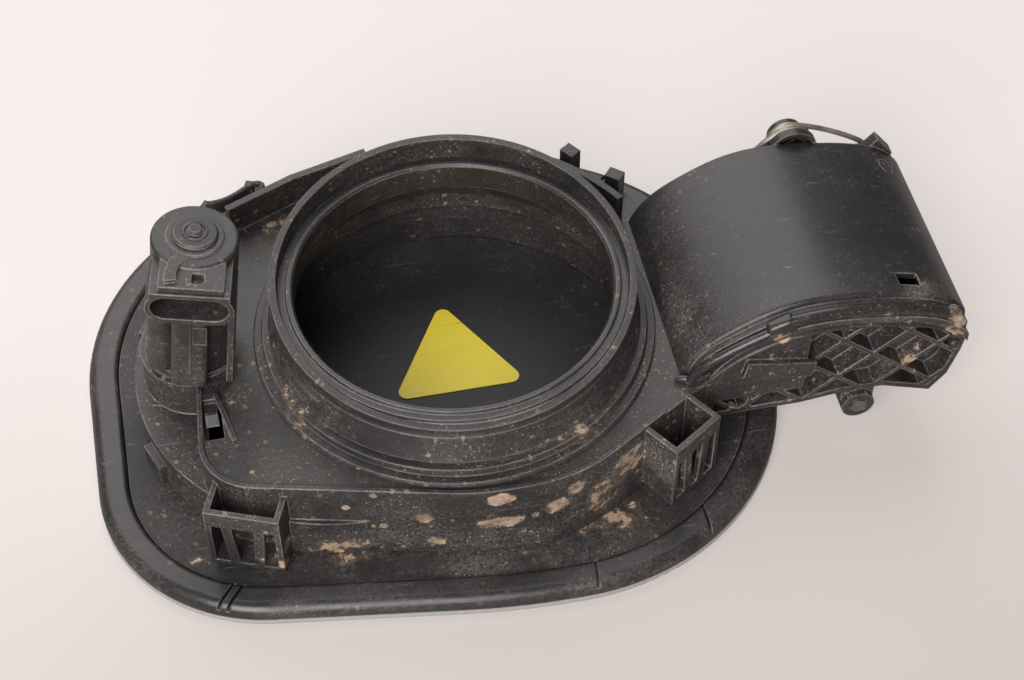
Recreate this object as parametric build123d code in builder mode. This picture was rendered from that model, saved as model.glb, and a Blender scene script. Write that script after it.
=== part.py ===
from build123d import *
import os
from math import cos, radians, sin

# Charging port flap with its housing, lying on the painted face of the flap.
# Origin: centre of the inlet opening, in the plane of the housing's plate top.
# +X runs from the lock to the hinge, +Y along the hinge pin, +Z out of the flap's back.

# Heights of the main levels (millimetres, above the plate top)
rest_z = -28.5            # the surface that the painted face lies on
skirt_foot_z = -22.9      # foot of the housing's skirt
ledge_top_z = -11.0       # lower shelf on the lock's side
mouth_z = 17.0            # top of the inlet seal

# Walls
plate_t = 2.5
skirt_t = 2.2
gap_soft = 0.3            # between soft or curved pieces of different bodies
gap_run = 0.05            # radial clearance of a pin or slide in its bore

# Flap outline: corners of the panel and the radius at each
flap_left = -92.2
flap_right = 81.0
flap_rear = 79.0
flap_front = -67.0
flap_front_left = -53.0
flap_rear_left_r = 62.0
flap_rear_right_r = 65.0
flap_front_right_r = 62.0
flap_front_bend_r = 190.0
flap_front_left_r = 44.0
flap_front_bend_room = 15.6    # from the end of the front right corner's arc to the front edge's slight bend
flap_front_bend_x = flap_right - flap_front_right_r - flap_front_bend_room

# Flap layers
skin_t = 1.6
skin_rim_h = 2.5
skin_rim_t = 1.5
skin_edge_r = 1.4
lip_w = 7.6
lip_h = 3.5
lip_outer_r = 3.1
lip_inner_r = 1.2
lip_slit_w = 0.8
lip_seat = 0.3            # gap between the lip and the inner panel's shelf
shelf_h = 2.2             # inner panel's shelf, above the rim of the skin
disc_cover = 1.3          # how far the disc reaches past the seal's inner edge
disc_top_z = -18.5
disc_edge_r = 1.2
disc_wall = 2.2

# Triangular label
label_side = 34.0         # before its corners are rounded
label_corner_r = 2.2
label_t = 0.3
label_y = 3.9

# Housing plate outline: its corners and the radius at each
plate_right = 58.0
hinge_side_y = 28.5       # half width of the outline at the hinge end
plate_corners = [
    (-66.5, -36.5),
    (-4.0, -51.8),
    (20.0, -51.8),
    (plate_right, -hinge_side_y),
    (plate_right, hinge_side_y),
    (36.0, 54.0),
    (-28.0, 57.0),
    (-60.0, 47.0),
]
plate_corner_r = [14.0, 60.0, 40.0, 3.0, 3.0, 18.0, 60.0, 12.0]
ledge_r = 50.7
ledge_x = -28.7
ledge_y = 5.0

# Inlet collar
bore_r = 38.5
seal_wall = 2.1
rim_room = 1.7            # between the seal and the rim
rim_wall = 1.7
foot_w = 5.3              # foot of the collar, beyond its rim
foot_seat_w = 3.3         # width of the foot that stands on the plate
neck_wall = 1.8
rim_mid_z = 18.85         # height of the sloping rim on the collar's axis
rim_slope = 4.9           # degrees, rear side higher
collar_neck_h = 3.5       # below the plate top
seal_room = 1.0           # between the collar's neck and the flap seal
flap_seal_t = 2.0

# Radii that follow from the bore
seal_r = bore_r + seal_wall
rim_r = seal_r + rim_room + rim_wall
collar_base_r = rim_r + foot_w
collar_hole_r = collar_base_r - foot_seat_w
flap_seal_r = collar_hole_r + seal_room
disc_r = flap_seal_r + disc_cover

# Hinge
pin_x = 96.5
pin_z = -19.0
pin_r = 2.0
boss_r = 4.2
pocket_near_y = -29.5
pocket_far_y = 25.5
pocket_near_t = 7.0       # ribbed wall, web and ribs together
pocket_far_t = 3.0
pocket_end_t = 2.2
rib_w = 1.2
rib_count = 7
rib_pitch = 16.5
rib_len = 80.0
rib_cross_x = 98.0        # where the middle pair of ribs crosses
rib_angle = 40.0
rib_depth = 5.0
frame_w = 1.6
band_top = -8.7           # top of the low ribbed band, left of the lattice
band_right = 81.1
band_rib_x = 67.7
cover_t = 2.0
cover_drop = 6.5          # depth of the cover's side walls

# Clip boxes on the skirt: place, turn, width, reach, top and foot of each
clips = [
    (-55.5, -37.5, -21.5, 18.0, 8.3, -2.0, -22.0),
    (45.5, -38.5, 33.6, 15.6, 8.0, 0.5, -20.0),
]
clip_wall = 1.4
clip_band_h = 5.0
clip_floor_t = 1.4
clip_strut_w = 2.4

# Rear of the plate: splash walls and the hooks behind them (place and turn)
splash_h = 8.6
splash_t = 1.8
splash_r = 54.6
hook_spots = [(-43.6, 53.0, -20.0), (-55.5, 48.0, -35.0), (40.2, 49.4, 35.0), (49.6, 38.6, 50.0)]
hook_h = 4.6

# Hinge arm
arm_t = 6.0
arm_half_w = 17.0
barrel_r = 5.4
bush_wall = 1.2
arm_top_z = 5.0           # middle of the arm at its highest
arm_foot_x = 65.6
arm_foot_w = 12.8
arm_foot_t = 2.6
screw_r = 1.6
screw_head_r = 3.0
screw_head_h = 1.8
screw_socket_r = 1.3
screw_pitch = 12.0

# Lock: a push latch whose axis leans towards the inlet
lock_x = -63.6
lock_y = 7.1
lock_lean = 7.5           # degrees from vertical
lock_turn = -10.0         # degrees about the vertical
lock_top = 38.0
lock_body_r = 10.2
lock_bore_r = 6.25
tower_r = 13.0
seat_r = 11.4
seat_bottom = -3.0
seat_top = 1.6
plunger_travel = 6.0
stem_r = 2.2
head_len = 10.0
head_w = 4.0
head_t = 3.0
head_bottom = -21.4
cup_bottom = 4.0
cup_h = 12.0
cup_floor = 2.5
cup_wall = 1.5
bore_spare = 6.0          # bore left above the cup at the end of its travel
lock_bore_top = cup_bottom + cup_h + plunger_travel + bore_spare
socket_w = 20.4
socket_h = 9.4
socket_wall = 1.3
socket_front = 17.0       # reach of the connector socket in front of the axis
socket_depth = 7.2

os.makedirs("parts", exist_ok=True)


def save(piece, name):
    piece.part.label = name
    export_step(piece.part, f"parts/{name}.step")


def flap_face(inset=0.0):
    """Flap outline as a face, pulled in by inset, in the open sketch."""
    corners = [
        (flap_left, flap_rear),
        (flap_right, flap_rear),
        (flap_right, flap_front),
        (flap_front_bend_x, flap_front),
        (flap_left, flap_front_left),
    ]
    radii = [
        flap_rear_left_r,
        flap_rear_right_r,
        flap_front_right_r,
        flap_front_bend_r,
        flap_front_left_r,
    ]
    with BuildSketch(mode=Mode.PRIVATE) as outline:
        with BuildLine():
            FilletPolyline(*corners, radius=radii, close=True)
        make_face()
        if inset:
            offset(amount=-inset, kind=Kind.ARC, mode=Mode.REPLACE)
    return outline.sketch


# Outer skin: painted tray that shows on the car
panel_z = rest_z + skin_t
rim_top_z = rest_z + skin_rim_h
with BuildPart() as outer_skin:
    with BuildSketch(Plane.XY.offset(rest_z)):
        add(flap_face())
    extrude(amount=skin_rim_h)
    fillet(outer_skin.faces().sort_by(Axis.Z)[0].edges(), radius=skin_edge_r)
    with BuildSketch(Plane.XY.offset(panel_z)):
        add(flap_face(skin_rim_t))
    extrude(amount=skin_rim_h, mode=Mode.SUBTRACT)
save(outer_skin, "outer_skin")

# Inner panel: base sheet in the tray, raised shelf and the disc that faces the inlet
shelf_z = rim_top_z + shelf_h
arm_foot_z = shelf_z + arm_foot_t
screw_spots = [(arm_foot_x, spot_y) for spot_y in (-screw_pitch, 0.0, screw_pitch)]
with BuildPart() as inner_panel:
    with BuildSketch(Plane.XY.offset(panel_z)):
        add(flap_face(skin_rim_t))
    extrude(amount=rim_top_z - panel_z)
    with BuildSketch(Plane.XY.offset(rim_top_z)):
        add(flap_face(lip_w + lip_seat))
    extrude(amount=shelf_h)
    with BuildSketch(Plane.XY.offset(shelf_z)):
        Circle(disc_r)
    extrude(amount=disc_top_z - shelf_z)
    disc_rim = inner_panel.faces().sort_by(Axis.Z)[-1].edges()
    fillet(disc_rim, radius=disc_edge_r)
    with BuildSketch(Plane.XY.offset(panel_z)):
        Circle(disc_r - disc_wall)
    extrude(amount=disc_top_z - disc_wall - panel_z, mode=Mode.SUBTRACT)
    with BuildSketch(Plane.XY.offset(shelf_z)):
        with Locations(*screw_spots):
            Circle(screw_r)
    extrude(amount=panel_z - shelf_z, mode=Mode.SUBTRACT)
save(inner_panel, "inner_panel")

# Rim lip: soft rolled edge seal round the flap, with its drain slits
slit_places = [
    (-64.4, -51.0, 51.0),
    (-62.6, -52.2, 51.0),
    (22.0, -61.5, 83.0),
    (51.4, -53.6, 91.0),
    (56.0, 66.0, 45.0),
]
with BuildPart() as rim_lip:
    with BuildSketch(Plane.XY.offset(rim_top_z)):
        add(flap_face(0.15))
        add(flap_face(lip_w), mode=Mode.SUBTRACT)
    extrude(amount=lip_h)
    outer_loop = rim_lip.faces().sort_by(Axis.Z)[-1].outer_wire().edges()
    fillet(outer_loop, radius=lip_outer_r)
    inner_loop = rim_lip.faces().sort_by(Axis.Z)[-1].inner_wires()[0].edges()
    fillet(inner_loop, radius=lip_inner_r)
    for slit_x, slit_y, slit_angle in slit_places:
        with BuildSketch(Plane.XY.offset(rim_top_z + lip_h)):
            with Locations(Location((slit_x, slit_y), slit_angle)):
                Rectangle(2.4 * lip_w, lip_slit_w)
        extrude(amount=-lip_h / 2, mode=Mode.SUBTRACT)
save(rim_lip, "rim_lip")

# Triangle label: bare coloured sticker on the disc, point away from the viewer's side
with BuildPart() as triangle_label:
    with BuildSketch(Plane.XY.offset(disc_top_z)):
        with Locations((0, label_y)):
            RegularPolygon(label_side / 3 ** 0.5, 3, rotation=90)
        fillet(vertices(), radius=label_corner_r)
    extrude(amount=label_t)
save(triangle_label, "triangle_label")


# Places on the lock's leaning axis
lean = radians(lock_lean)
turn = radians(lock_turn)
lock_frame = Plane(
    origin=(lock_x, lock_y, 0),
    x_dir=(cos(turn) * cos(lean), sin(turn), -sin(lean)),
    z_dir=(sin(lean), 0, cos(lean)),
)
catch_x = lock_x + head_bottom * sin(lean)
catch_y = lock_y


def lock_plane(height):
    """Plane across the lock's axis, height above the plate along it."""
    return lock_frame.offset(height)


# Latch catch: open channel on the flap; the head turns under its two lips
catch_len = 9.0
catch_wall = 1.6
catch_base_t = 1.5
catch_lip_t = 2.0
catch_half = head_len / 2 + 0.8
catch_slot_half = head_w / 2 + 0.6
catch_lip_z = -11.4
catch_top_z = catch_lip_z + catch_lip_t
with BuildPart() as latch_catch:
    with BuildSketch(Plane.YZ.offset(catch_x - catch_len / 2)):
        with BuildLine():
            Polyline(
                (catch_y - catch_half - catch_wall, shelf_z),
                (catch_y + catch_half + catch_wall, shelf_z),
                (catch_y + catch_half + catch_wall, catch_top_z),
                (catch_y + catch_slot_half, catch_top_z),
                (catch_y + catch_slot_half, catch_lip_z),
                (catch_y + catch_half, catch_lip_z),
                (catch_y + catch_half, shelf_z + catch_base_t),
                (catch_y - catch_half, shelf_z + catch_base_t),
                (catch_y - catch_half, catch_lip_z),
                (catch_y - catch_slot_half, catch_lip_z),
                (catch_y - catch_slot_half, catch_top_z),
                (catch_y - catch_half - catch_wall, catch_top_z),
                close=True,
            )
        make_face()
    extrude(amount=catch_len)
save(latch_catch, "latch_catch")

# Hinge arm: gooseneck from the flap up through the pocket and down to the pin
arm_path = [
    (arm_foot_x, arm_foot_z),
    (arm_foot_x + 2.0, -6.0),
    (pin_x - 20.5, arm_top_z),
    (pin_x - 6.5, arm_top_z),
    (pin_x, -4.0),
    (pin_x, pin_z),
]
arm_corner_r = [7.0, 8.0, 8.0, 7.0]
barrel_half = pocket_far_y - pocket_far_t - gap_soft
with BuildPart() as hinge_arm:
    with BuildSketch(Plane.XZ.offset(-arm_half_w)) as arm_profile:
        with BuildLine():
            FilletPolyline(*arm_path, radius=arm_corner_r)
        trace(line_width=arm_t)
        with Locations((pin_x, pin_z)):
            Circle(barrel_r)
        with Locations((arm_foot_x, shelf_z + arm_foot_t / 2)):
            Rectangle(arm_foot_w, arm_foot_t)
    extrude(amount=2 * arm_half_w)
    with BuildSketch(Plane.XZ.offset(-barrel_half)):
        with Locations((pin_x, pin_z)):
            Circle(barrel_r)
    extrude(amount=2 * barrel_half)
    with BuildSketch(Plane.XZ.offset(-barrel_half)):
        with Locations((pin_x, pin_z)):
            Circle(pin_r + gap_run + bush_wall)
    extrude(amount=2 * barrel_half, mode=Mode.SUBTRACT)
    with BuildSketch(Plane.XY.offset(arm_foot_z)):
        with Locations(*screw_spots):
            Circle(screw_r)
    extrude(amount=-arm_foot_t, mode=Mode.SUBTRACT)
    with BuildSketch(Plane.XY.offset(arm_foot_z)):
        with Locations(*screw_spots):
            Circle(screw_head_r + 0.6)
    extrude(amount=13.0, mode=Mode.SUBTRACT)
save(hinge_arm, "hinge_arm")


# Arm bushes: plastic sleeves pressed into the arm's barrel, turning on the pin
bush_len = 12.0
with BuildPart() as arm_bushes:
    for bush_start in (-barrel_half, barrel_half - bush_len):
        with BuildSketch(Plane.XZ.offset(bush_start)):
            with Locations((pin_x, pin_z)):
                Circle(pin_r + gap_run + bush_wall)
                Circle(pin_r + gap_run, mode=Mode.SUBTRACT)
        extrude(amount=bush_len)
save(arm_bushes, "arm_bushes")

# Arm screws: pan heads down through the arm's foot into the inner panel
screw_len = arm_foot_z - panel_z - 0.4
with BuildPart() as arm_screws:
    with BuildSketch(Plane.XY.offset(arm_foot_z)):
        with Locations(*screw_spots):
            Circle(screw_head_r)
    extrude(amount=screw_head_h)
    chamfer(arm_screws.faces().filter_by(Axis.Z).sort_by(Axis.Z)[-1].edges(), length=0.5)
    with BuildSketch(Plane.XY.offset(arm_foot_z)):
        with Locations(*screw_spots):
            Circle(screw_r - 0.02)
    extrude(amount=-screw_len)
    with BuildSketch(Plane.XY.offset(arm_foot_z + screw_head_h)):
        with Locations(*screw_spots):
            RegularPolygon(screw_socket_r, 6)
    extrude(amount=-screw_head_h / 2, mode=Mode.SUBTRACT)
save(arm_screws, "arm_screws")


# Housing outline and the pocket's side profiles
def plate_face(inset=0.0):
    """Outline of the housing's plate, pulled in by inset."""
    with BuildSketch(mode=Mode.PRIVATE) as outline:
        with BuildLine():
            FilletPolyline(*plate_corners, radius=plate_corner_r, close=True)
        make_face()
        if inset:
            offset(amount=-inset, kind=Kind.ARC, mode=Mode.REPLACE)
    return outline.sketch


crest = [(54.5, 7.5), (64.0, 14.5), (73.5, 18.8), (83.0, 20.2), (92.0, 19.6), (104.0, 17.5), (114.0, 14.0)]
pocket_left = 50.2
pocket_right = 121.5
cover_end_z = 7.0
foot_run = 1.3            # how far the arch's foot moves in for each millimetre of drop


def arch(drop, end_x=pocket_right):
    """Points of the cover's arched line lowered by drop, from the plate to the far end."""
    foot_x = pocket_left + foot_run * drop
    points = [(foot_x, 0.0)]
    points += [(x, z - drop) for x, z in crest if z - drop > 0.5 and x > foot_x + 1.5]
    points.append((end_x, cover_end_z - drop))
    return points


def cover_face(top_drop, bottom_drop, end_x=pocket_right):
    """Upright area between two lowered copies of the arched line."""
    upper = arch(top_drop, end_x)
    lower = arch(bottom_drop, end_x)
    with BuildSketch(Plane.XZ, mode=Mode.PRIVATE) as area:
        with BuildLine():
            Spline(*upper)
            Line(upper[-1], lower[-1])
            Spline(*reversed(lower))
            Line(lower[0], upper[0])
        make_face()
    return area.sketch


# Lower edge of the pocket's walls, from the skirt round the right end
wall_low = [
    (56.0, -14.6),
    (81.0, -14.6),
    (pin_x - 4.5, -13.2),
    (pin_x + 5.5, -13.2),
    (115.0, -18.0),
    (118.8, -12.5),
    (120.9, -4.0),
    (pocket_right, cover_end_z - cover_drop),
]


def wall_face():
    """Side wall of the pocket below the cover's foot line."""
    rim = arch(cover_drop)
    with BuildSketch(Plane.XZ, mode=Mode.PRIVATE) as area:
        with BuildLine():
            Polyline(*wall_low)
            Spline(*reversed(rim))
            Polyline(rim[0], (52.0, -plate_t), wall_low[0])
        make_face()
    return area.sketch


def lattice_face():
    """Ribbed area of the near wall: a low band on the left, full height on the right."""
    with BuildSketch(Plane.XZ, mode=Mode.PRIVATE) as area:
        with BuildLine():
            Polyline(*wall_low, *reversed(arch(cover_drop)[1:-1]), (60.0, 6.0), close=True)
        make_face()
        offset(amount=-frame_w, kind=Kind.INTERSECTION, mode=Mode.REPLACE)
        with Locations((band_right - 30.0, band_top + 30.0)):
            Rectangle(60.0, 60.0, mode=Mode.SUBTRACT)
        with Locations((pin_x, pin_z)):
            Circle(boss_r + 1.0, mode=Mode.SUBTRACT)
    return area.sketch


def clip_box(x, y, angle, width, reach, top, foot):
    """Open clip box on the skirt: three walls, a floor, and a window with two tapered struts."""
    inner_w = width - 2 * clip_wall
    window_top = top - clip_band_h
    window_foot = foot + clip_floor_t
    with BuildPart(mode=Mode.PRIVATE) as box:
        with BuildSketch(Plane.XY.offset(foot)):
            with Locations((0, 1 - reach / 2)):
                Rectangle(width, reach + 2)
        extrude(amount=top - foot)
        with BuildSketch(Plane.XY.offset(window_foot)):
            with Locations((0, 1 - reach / 2 + clip_wall / 2)):
                Rectangle(inner_w, reach + 2 - clip_wall)
        extrude(amount=top - window_foot, mode=Mode.SUBTRACT)
        with BuildSketch(Plane.XZ.offset(reach)):
            with Locations((0, (window_top + window_foot) / 2)):
                Rectangle(inner_w, window_top - window_foot)
            for side in (-1, 1):
                with BuildLine():
                    Polyline(
                        (side * inner_w * 0.34, window_top),
                        (side * inner_w * 0.34 - side * clip_strut_w, window_top),
                        (side * inner_w * 0.27 - side * clip_strut_w, window_foot),
                        (side * inner_w * 0.27, window_foot),
                        close=True,
                    )
                make_face(mode=Mode.SUBTRACT)
        extrude(amount=-clip_wall, mode=Mode.SUBTRACT)
    return Location((x, y, 0), (0, 0, angle)) * box.part


# Housing: plate, skirt, lower ledge, clip boxes and the hinge pocket's walls, moulded in one
ridge_w = 1.1
ridge_h = 0.9
ridge_len = 14.6
ridge_x = -58.6
ridge_y = -17.0
ridge_turn = 12.0
rim_end_x = 44.0
rim_end_y = -8.0
slot_w = 4.6
slot_front_y = -23.0
slot_rear_y = -11.0
tongue_x = -61.6
tongue_w = 3.0
tab_angles = (152.5, 201.6)
tab_len = 8.3
tab_z = -20.0
tab_h = 6.0
bar_x = 73.8
bar_z = 1.6
bar_slope = -11.4
bar_len = 17.8
bar_w = 5.0
bar_proud = 1.6
boss_root_z = -12.0
tower_inner_r = tower_r - skirt_t
wall_web_y = pocket_near_y + pocket_near_t
inner_far_y = pocket_far_y - pocket_far_t
with BuildPart() as housing:
    with BuildSketch():
        add(plate_face())
    extrude(amount=skirt_foot_z)
    with BuildSketch(Plane.XY.offset(ledge_top_z)):
        with Locations((ledge_x, ledge_y)):
            Circle(ledge_r)
    extrude(amount=skirt_foot_z - ledge_top_z)
    with BuildSketch():
        with Locations((lock_x, lock_y)):
            Circle(tower_r)
    extrude(amount=ledge_top_z)
    with BuildSketch(Plane.XY.offset(-plate_t)):
        add(plate_face(skirt_t))
    extrude(amount=skirt_foot_z + plate_t, mode=Mode.SUBTRACT)
    with BuildSketch(Plane.XY.offset(ledge_top_z - plate_t)):
        with Locations((ledge_x, ledge_y)):
            Circle(ledge_r - skirt_t)
    extrude(amount=skirt_foot_z - ledge_top_z + plate_t, mode=Mode.SUBTRACT)
    with BuildSketch(Plane.XY.offset(-plate_t)):
        with Locations((lock_x, lock_y)):
            Circle(tower_inner_r)
    extrude(amount=skirt_foot_z + plate_t, mode=Mode.SUBTRACT)
    with BuildSketch():
        Circle(collar_hole_r)
    extrude(amount=-plate_t, mode=Mode.SUBTRACT)
    for clip in clips:
        add(clip_box(*clip))
    with BuildSketch(Plane.XZ.offset(-pocket_far_y)):
        add(wall_face())
    extrude(amount=pocket_far_y - pocket_near_y)
    with BuildSketch(Plane.XZ.offset(-inner_far_y)):
        with BuildLine():
            Polyline(
                (plate_right, -40.0),
                (plate_right, -plate_t),
                (plate_right - 2.0, 0.0),
                (plate_right - 2.0, 40.0),
                (pocket_right - pocket_end_t, 40.0),
                (pocket_right - pocket_end_t, 1.0),
                (118.6, -4.0),
                (116.6, -11.6),
                (114.0, -15.0),
                (pin_x + 7.0, -11.0),
                (pin_x + 7.0, -40.0),
                close=True,
            )
        make_face()
    extrude(amount=inner_far_y - wall_web_y, mode=Mode.SUBTRACT)
    # pin bosses under both walls
    for boss_y, boss_len in ((wall_web_y, pocket_near_t - 1.2), (pocket_far_y + 1.0, pocket_far_t + 1.0)):
        with BuildSketch(Plane.XZ.offset(-boss_y)):
            with Locations((pin_x, pin_z)):
                Circle(boss_r)
            with Locations((pin_x, boss_root_z)):
                Circle(boss_r)
            make_hull()
        extrude(amount=boss_len)
    with BuildSketch(Plane.XZ.offset(-wall_web_y)):
        with Locations((pin_x, pin_z)):
            Circle(boss_r)
    extrude(amount=pocket_near_t + 0.6)
    with BuildSketch(Plane.XZ.offset(-pocket_far_y - 2)):
        with Locations((pin_x, pin_z)):
            Circle(pin_r + gap_run)
    extrude(amount=pocket_far_y - pocket_near_y + 6, mode=Mode.SUBTRACT)
    # lattice of crossed ribs on the near wall
    with BuildSketch(Plane.XZ.offset(-pocket_near_y)) as lattice:
        add(lattice_face())
        with Locations((band_rib_x, 0)):
            Rectangle(rib_w, 60.0, mode=Mode.SUBTRACT)
        with GridLocations(rib_pitch, 1, rib_count, 1):
            with Locations(Location((rib_cross_x, 0.0), rib_angle), Location((rib_cross_x, 0.0), -rib_angle)):
                Rectangle(rib_len, rib_w, mode=Mode.SUBTRACT)
    extrude(amount=-rib_depth, mode=Mode.SUBTRACT)
    # leaning seat of the lock with the plunger's guide hole
    with BuildSketch(lock_plane(seat_bottom)):
        Circle(seat_r)
    extrude(amount=seat_top - seat_bottom)
    with BuildSketch(lock_plane(seat_bottom - 4.0)):
        Circle(stem_r + 0.5)
    extrude(amount=12.0, mode=Mode.SUBTRACT)
    # raised rim along the plate's front edge, a ridge beside it in front of the lock,
    # and between the two a slot with a snap tongue
    with BuildSketch():
        add(plate_face())
        add(plate_face(ridge_w), mode=Mode.SUBTRACT)
        with Locations((rim_end_x, rim_end_y)):
            Rectangle(3 * ledge_r, 3 * ledge_r, align=(Align.MAX, Align.MAX), mode=Mode.INTERSECT)
    extrude(amount=ridge_h)
    with BuildSketch():
        with Locations(Location((ridge_x, ridge_y), ridge_turn)):
            Rectangle(ridge_w, ridge_len)
    extrude(amount=ridge_h)
    with BuildSketch():
        with Locations((tongue_x, (slot_front_y + slot_rear_y) / 2)):
            Rectangle(slot_w, slot_rear_y - slot_front_y)
    extrude(amount=-plate_t, mode=Mode.SUBTRACT)
    with BuildSketch(Plane.YZ.offset(tongue_x - tongue_w / 2)):
        with BuildLine():
            Polyline(
                (slot_rear_y + 1.0, -plate_t),
                (slot_rear_y - 6.4, -plate_t),
                (slot_rear_y - 7.8, -0.6),
                (slot_rear_y - 5.6, 1.0),
                (slot_rear_y - 4.6, 1.0),
                (slot_rear_y - 4.6, -plate_t + 1.2),
                (slot_rear_y + 1.0, -plate_t + 1.2),
                close=True,
            )
        make_face()
    extrude(amount=tongue_w)
    # splash walls behind the collar, left and right
    with BuildSketch():
        with BuildLine():
            Polyline((-50.6, 42.6), (-33.0, 50.4), (-13.0, 56.0))
        trace(line_width=splash_t)
    extrude(amount=splash_h)
    with BuildSketch():
        with BuildLine():
            CenterArc((0, 0), splash_r, 28.6, 36.0)
        trace(line_width=splash_t)
    extrude(amount=splash_h)
    # hooks along the plate's rear edge
    for hook_x, hook_y, hook_turn in hook_spots:
        with BuildSketch(Plane.XY.offset(-plate_t)):
            with Locations(Location((hook_x, hook_y), hook_turn)):
                Rectangle(3.4, 4.2)
        extrude(amount=plate_t + hook_h)
    # small catches at the foot of the ledge
    for tab_angle in tab_angles:
        tab_x = ledge_x + (ledge_r + 0.2) * cos(radians(tab_angle))
        tab_y = ledge_y + (ledge_r + 0.2) * sin(radians(tab_angle))
        with BuildSketch(Plane.XY.offset(tab_z)):
            with Locations(Location((tab_x, tab_y), tab_angle)):
                Rectangle(3.6, tab_len)
        extrude(amount=tab_h)
    # plain raised bar on the near wall, left of the lattice
    with BuildSketch(Plane.XZ.offset(-pocket_near_y)):
        with Locations(Location((bar_x, bar_z), bar_slope)):
            Rectangle(bar_len, bar_w)
    extrude(amount=bar_proud)
save(housing, "housing")


# Pocket cover: arched lid over the hinge pocket, with a stepped flange on the near side
cover_near_y = pocket_near_y + 3.0
cover_far_y = pocket_far_y
step_1_y = cover_near_y - 1.9
step_2_y = pocket_near_y - 1.1
spring_boss_x = 92.3
spring_boss_z = 16.2
spring_boss_r = 4.5
spring_boss_len = 8.0
spring_rim_r = 6.6
spring_rim_t = 2.2
boss_wall = 0.9
window_x = 106.8          # small window through the cover, near its right end
window_y = -21.6
window_len = 5.4
window_w = 3.8
with BuildPart() as pocket_cover:
    with BuildSketch(Plane.XZ.offset(-cover_far_y)):
        add(cover_face(0.0, cover_drop))
    extrude(amount=cover_far_y - cover_near_y)
    near_arches = pocket_cover.edges().filter_by(GeomType.BSPLINE).group_by(Axis.Y)[0]
    fillet(near_arches.sort_by(Axis.Z)[-1:], radius=1.2)
    with BuildSketch(Plane.XZ.offset(-cover_far_y + cover_t)):
        add(cover_face(cover_t, cover_drop + 12.0, pocket_right - cover_t))
    extrude(amount=cover_far_y - cover_near_y - 2 * cover_t, mode=Mode.SUBTRACT)
    with BuildSketch(Plane.XZ.offset(-cover_near_y)):
        add(cover_face(1.6, cover_drop))
    extrude(amount=cover_near_y - step_1_y)
    with BuildSketch(Plane.XZ.offset(-step_1_y)):
        add(cover_face(3.8, cover_drop))
    extrude(amount=step_1_y - step_2_y)
    with BuildSketch(Plane.XZ.offset(-cover_far_y)):
        with Locations((spring_boss_x, spring_boss_z)):
            Circle(spring_rim_r)
    extrude(amount=-spring_rim_t)
    with BuildSketch(Plane.XZ.offset(-cover_far_y)):
        with Locations((spring_boss_x, spring_boss_z)):
            Circle(spring_boss_r)
    extrude(amount=-spring_boss_len)
    hollows = [
        (spring_rim_r - boss_wall, spring_rim_t - 0.6),
        (spring_boss_r - boss_wall, spring_boss_len - 1.0),
    ]
    for hollow_r, hollow_depth in hollows:
        with BuildSketch(Plane.XZ.offset(-cover_far_y)):
            with Locations((spring_boss_x, spring_boss_z)):
                Circle(hollow_r)
        extrude(amount=-hollow_depth, mode=Mode.SUBTRACT)
    with BuildSketch(Plane.XZ.offset(-cover_far_y)):
        with BuildLine():
            Polyline((110.5, 11.5), (115.0, 16.5), (119.5, 11.0), (119.0, 7.0), (110.5, 8.0), close=True)
        make_face()
    extrude(amount=-3.0)
    with BuildSketch(Plane.XY.offset(cover_end_z)):
        with Locations((window_x, window_y)):
            Rectangle(window_len, window_w)
    extrude(amount=lock_top - cover_end_z, mode=Mode.SUBTRACT)
save(pocket_cover, "pocket_cover")

# Inlet collar: stepped soft collar with a rim that slopes towards the front
neck_r = collar_hole_r - neck_wall
seat_z = mouth_z - 1.4
seal_foot_z = 8.6
rim_low_z = 14.0
rim_plane = Plane(
    origin=(0, 0, rim_mid_z),
    x_dir=(1, 0, 0),
    z_dir=(0, -sin(radians(rim_slope)), cos(radians(rim_slope))),
)
with BuildPart() as inlet_collar:
    with BuildSketch(Plane.XY.offset(rim_low_z - 0.5)):
        Circle(rim_r)
        Circle(rim_r - rim_wall, mode=Mode.SUBTRACT)
    extrude(amount=2 * (rim_mid_z - rim_low_z))
    split(bisect_by=rim_plane, keep=Keep.BOTTOM)
    with BuildSketch(Plane.XZ):
        with BuildLine():
            Polyline(
                (rim_r, rim_low_z),
                (rim_r - 2.1, 13.0),
                (rim_r - 2.1, 11.6),
                (rim_r - 1.0, 11.0),
                (rim_r + 1.4, 5.0),
                (rim_r + 0.8, 4.6),
                (rim_r + 0.8, 4.2),
                (collar_base_r - 2.4, 3.9),
                (collar_base_r - 2.0, 2.4),
                (collar_base_r - 2.4, 2.1),
                (collar_base_r - 2.4, 1.7),
                (collar_base_r - 0.4, 1.5),
                (collar_base_r, 0.8),
                (collar_base_r, 0),
                (collar_hole_r, 0),
                (collar_hole_r, -collar_neck_h),
                (neck_r, -collar_neck_h),
                (neck_r, 1.0),
                (seal_r + 0.6, seal_foot_z - 0.6),
                (seal_r, seal_foot_z),
                (seal_r, seat_z),
                (rim_r - rim_wall, seat_z),
                (rim_r - rim_wall, rim_low_z),
                close=True,
            )
        make_face()
    revolve(axis=Axis.Z)
save(inlet_collar, "inlet_collar")

# Inlet seal: soft lip ring in the collar's mouth
with BuildPart() as inlet_seal:
    with BuildSketch(Plane.XZ):
        with BuildLine():
            Polyline(
                (bore_r, seal_foot_z + 0.8),
                (bore_r, mouth_z - 0.6),
                (bore_r + 0.6, mouth_z),
                (bore_r + 1.5, mouth_z),
                (seal_r - 0.2, seat_z + 0.6),
                (seal_r + 1.4, seat_z + 0.6),
                (seal_r + 1.4, seat_z),
                (seal_r, seat_z),
                (seal_r, seal_foot_z),
                (bore_r + 0.9, seal_foot_z),
                close=True,
            )
        make_face()
    revolve(axis=Axis.Z)
save(inlet_seal, "inlet_seal")

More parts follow.
